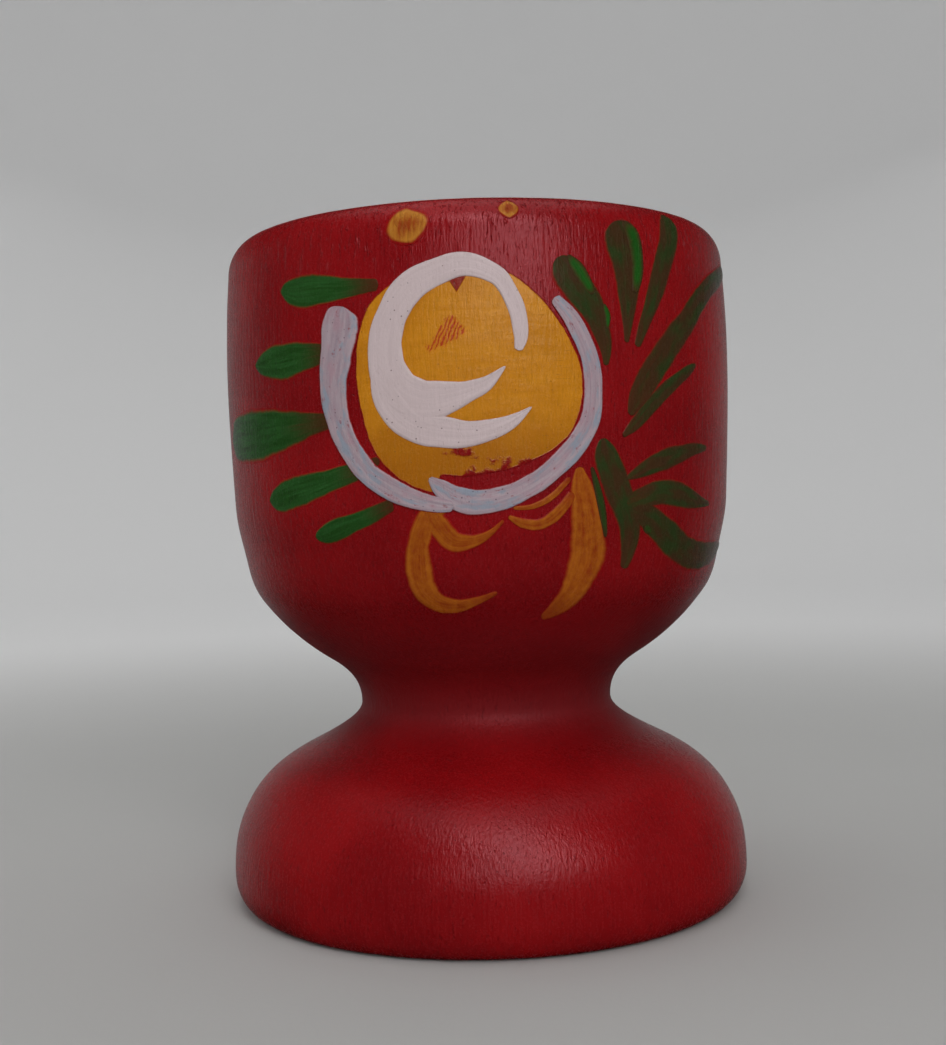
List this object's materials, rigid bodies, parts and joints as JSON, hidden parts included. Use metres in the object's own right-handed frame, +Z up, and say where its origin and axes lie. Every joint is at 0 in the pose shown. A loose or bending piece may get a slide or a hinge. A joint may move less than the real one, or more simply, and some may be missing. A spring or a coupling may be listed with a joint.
{
  "type": "egg cup",
  "caption": "Turned wooden egg cup with a round foot, a narrow waist and a deep bowl, red enamelled, with a brush-painted flower on the front and on the back.",
  "frame": {"origin": "centre of the foot's flat underside", "axes": "+Z up along the turning axis to the mouth; the front flower faces -Y, +X to its right"},
  "size_m": [0.05, 0.05, 0.0635],
  "materials": {
    "bare_wood": "bare turned hardwood, fine sanded",
    "red_enamel": "brushed red enamel under clear varnish, wood grain showing through",
    "ochre_paint": "ochre brush paint under varnish",
    "white_paint": "white impasto brush paint under varnish",
    "green_paint": "green brush paint, thin at the stroke's tail",
    "dark_green_paint": "thin green brush paint over red, reads as dark brown green",
    "bright_green_paint": "bright green second touch",
    "gold_paint": "translucent gold-orange brush paint"
  },
  "bodies": {
    "root": {"turned_body": "bare_wood", "ground_coat": "red_enamel", "front_rose_disc": "ochre_paint", "front_rose_swirl": "white_paint", "front_left_petal": "white_paint", "front_right_petal": "white_paint", "front_left_leaves": "green_paint", "front_upper_right_leaves": "dark_green_paint", "front_lower_right_leaves": "dark_green_paint", "front_leaf_accents": "bright_green_paint", "front_gold_scrolls": "gold_paint", "front_rim_dots": "gold_paint", "back_rose_disc": "ochre_paint", "back_rose_swirl": "white_paint", "back_left_petal": "white_paint", "back_right_petal": "white_paint", "back_left_leaves": "green_paint", "back_upper_right_leaves": "dark_green_paint", "back_lower_right_leaves": "dark_green_paint", "back_leaf_accents": "bright_green_paint", "back_gold_scrolls": "gold_paint", "back_rim_dots": "gold_paint"}
  },
  "joints": []
}
